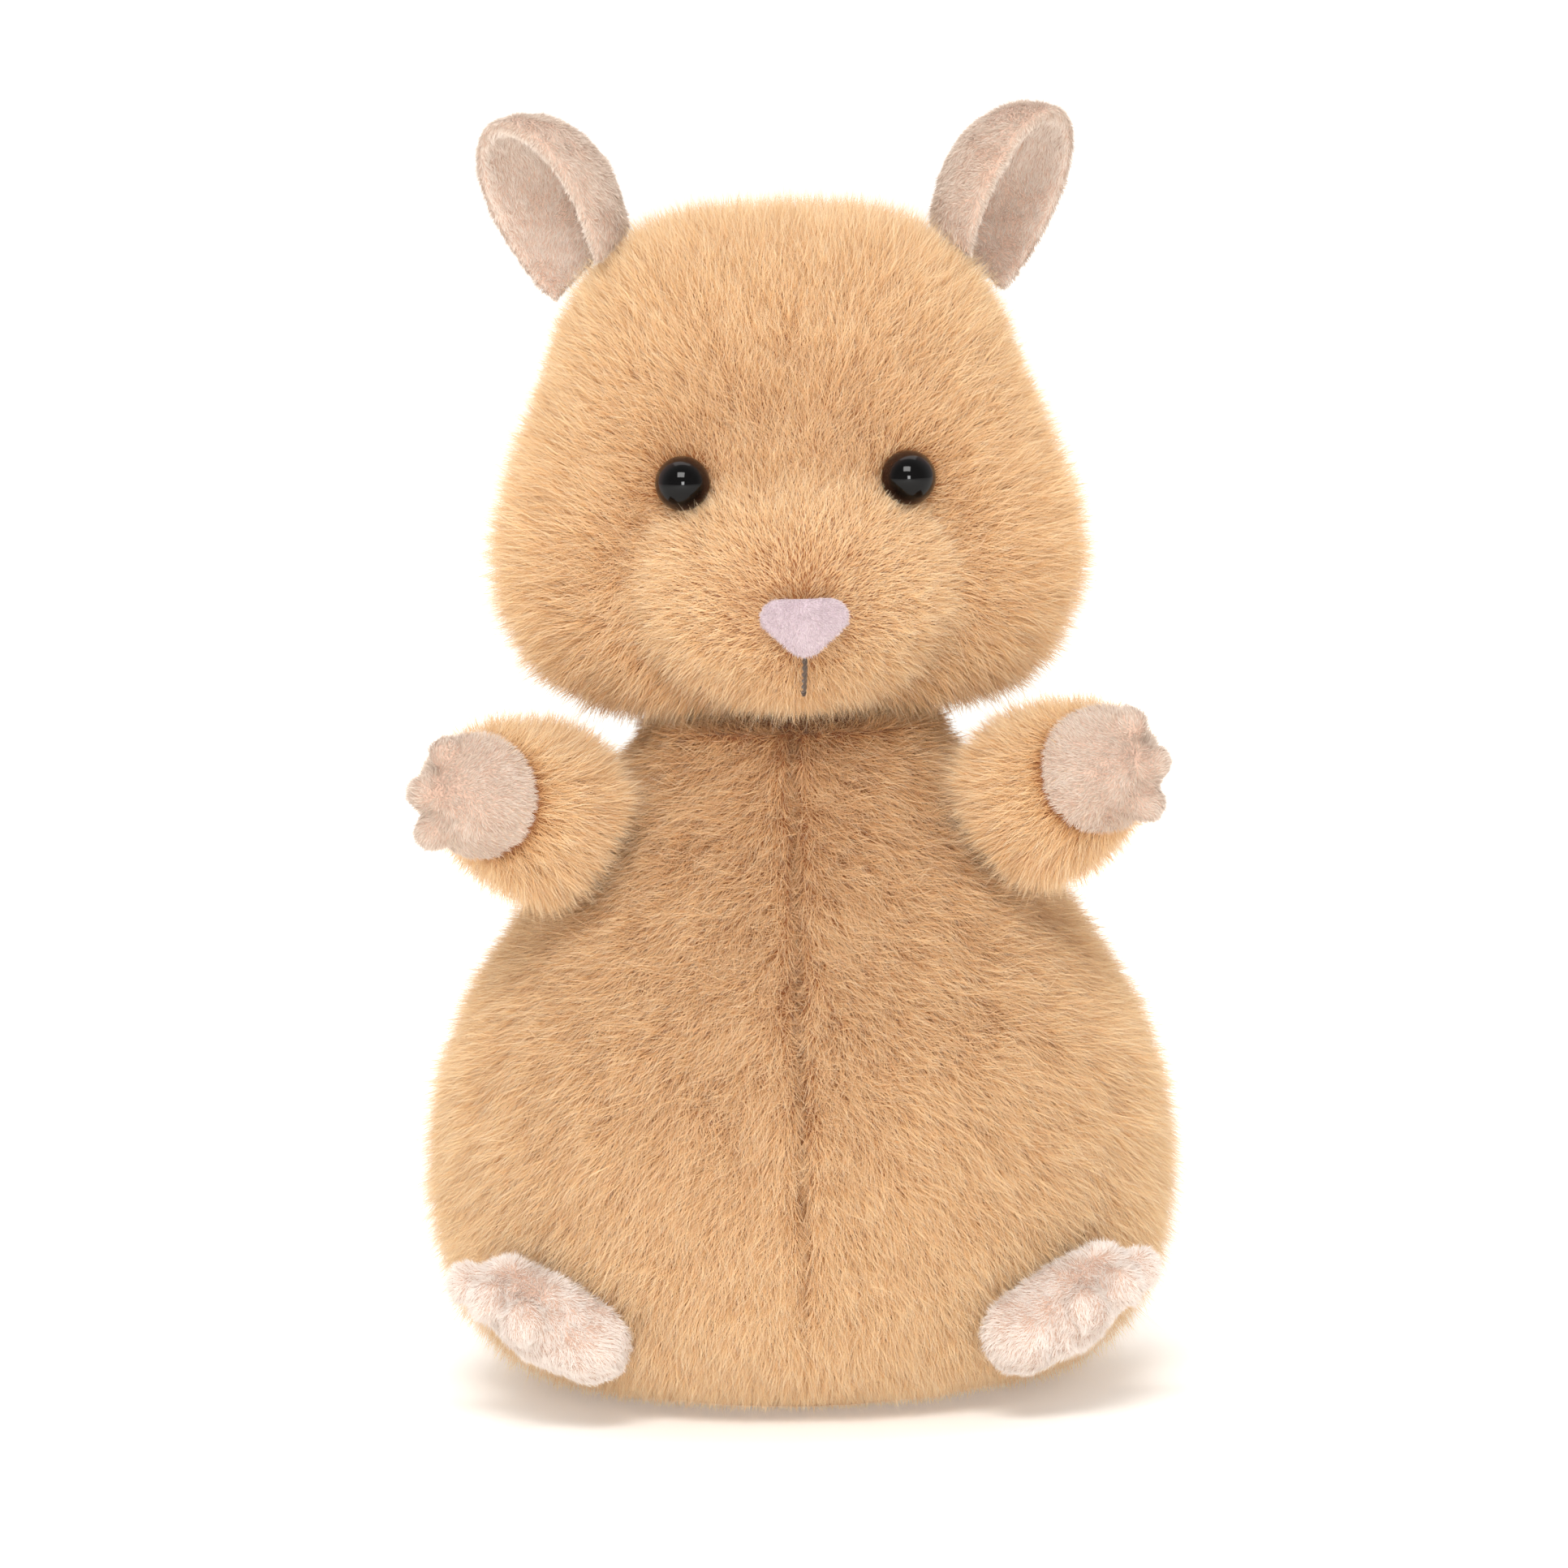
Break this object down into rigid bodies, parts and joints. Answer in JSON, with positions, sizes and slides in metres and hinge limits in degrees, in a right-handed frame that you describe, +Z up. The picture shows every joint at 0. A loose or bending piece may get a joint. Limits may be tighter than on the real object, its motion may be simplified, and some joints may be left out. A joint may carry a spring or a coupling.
{
  "type": "jointed plush hamster",
  "caption": "Small sitting plush hamster with a pear-shaped body, cupped ears and arms, feet and head that turn on snap joints.",
  "frame": {"origin": "centre of the flat base panel that the toy sits on", "axes": "+Z up from the base to the ears, -Y towards the face, +X towards the toy's own left"},
  "size_m": [0.1033, 0.1014, 0.1769],
  "materials": {
    "fur": "long plush pile, paler at its tips",
    "base_cloth": "short plush cloth",
    "fibre": "loose polyester fibre",
    "pouch_cloth": "woven cotton",
    "beans": "smooth pellets",
    "short_pile": "short matt pile",
    "eye_plastic": "polished black",
    "nose_suede": "napped suede-like cloth",
    "thread": "twisted embroidery thread",
    "joint_plastic": "moulded",
    "lock_plastic": "moulded"
  },
  "bodies": {
    "torso": {"torso_front_left": "fur", "torso_front_right": "fur", "torso_back_left": "fur", "torso_back_right": "fur", "base_panel": "base_cloth", "torso_filling": "fibre", "bean_pouch": "pouch_cloth", "bean_filling": "beans", "neck_washer": "joint_plastic", "shoulder_washer_left": "joint_plastic", "shoulder_washer_right": "joint_plastic", "foot_washer_left": "joint_plastic", "foot_washer_right": "joint_plastic"},
    "head": {"head_left": "fur", "head_right": "fur", "head_crown": "fur", "muzzle": "fur", "head_filling": "fibre", "eye_left": "eye_plastic", "eye_right": "eye_plastic", "eye_washer_left": "lock_plastic", "eye_washer_right": "lock_plastic", "nose": "nose_suede", "mouth_stitch": "thread", "neck_disc": "joint_plastic", "neck_lock": "lock_plastic"},
    "arm_left": {"arm_left_sleeve": "fur", "arm_left_palm": "short_pile", "arm_left_filling": "fibre", "shoulder_disc_left": "joint_plastic", "shoulder_lock_left": "lock_plastic"},
    "foot_left": {"foot_left_upper": "short_pile", "foot_left_sole": "short_pile", "foot_left_filling": "fibre", "foot_disc_left": "joint_plastic", "foot_lock_left": "lock_plastic"},
    "ear_left": {"ear_left_front": "short_pile", "ear_left_back": "short_pile"},
    "arm_right": {"arm_right_sleeve": "fur", "arm_right_palm": "short_pile", "arm_right_filling": "fibre", "shoulder_disc_right": "joint_plastic", "shoulder_lock_right": "lock_plastic"},
    "foot_right": {"foot_right_upper": "short_pile", "foot_right_sole": "short_pile", "foot_right_filling": "fibre", "foot_disc_right": "joint_plastic", "foot_lock_right": "lock_plastic"},
    "ear_right": {"ear_right_front": "short_pile", "ear_right_back": "short_pile"}
  },
  "joints": [
    {"name": "neck_turn", "type": "hinge", "parent": "torso", "child": "head", "pos_m": [0, 0, 0.0953], "axis": [0, 0, 1], "range_deg": [-90, 90]},
    {"name": "shoulder_left_swing", "type": "hinge", "parent": "torso", "child": "arm_left", "pos_m": [0.02866, -0.00609, 0.079], "axis": [-0.825, 0.1754, -0.5373], "range_deg": [-75, 25]},
    {"name": "shoulder_right_swing", "type": "hinge", "parent": "torso", "child": "arm_right", "pos_m": [-0.02866, -0.00609, 0.079], "axis": [-0.825, -0.1754, 0.5373], "range_deg": [-75, 25]},
    {"name": "foot_left_swing", "type": "hinge", "parent": "torso", "child": "foot_left", "pos_m": [0.03262, -0.03623, 0.0165], "axis": [0.6242, -0.6933, -0.3602], "range_deg": [-25, 25]},
    {"name": "foot_right_swing", "type": "hinge", "parent": "torso", "child": "foot_right", "pos_m": [-0.03262, -0.03623, 0.0165], "axis": [0.6242, 0.6933, 0.3602], "range_deg": [-25, 25]},
    {"name": "ear_left_fold", "type": "hinge", "parent": "head", "child": "ear_left", "pos_m": [0.02633, 0.00438, 0.15553], "axis": [0.7061, 0.037, -0.7071], "range_deg": [-15, 15], "stiffness_Nm_per_rad": 0.006},
    {"name": "ear_right_fold", "type": "hinge", "parent": "head", "child": "ear_right", "pos_m": [-0.02665, 0.00161, 0.15553], "axis": [0.7061, 0.037, 0.7071], "range_deg": [-15, 15], "stiffness_Nm_per_rad": 0.006}
  ]
}
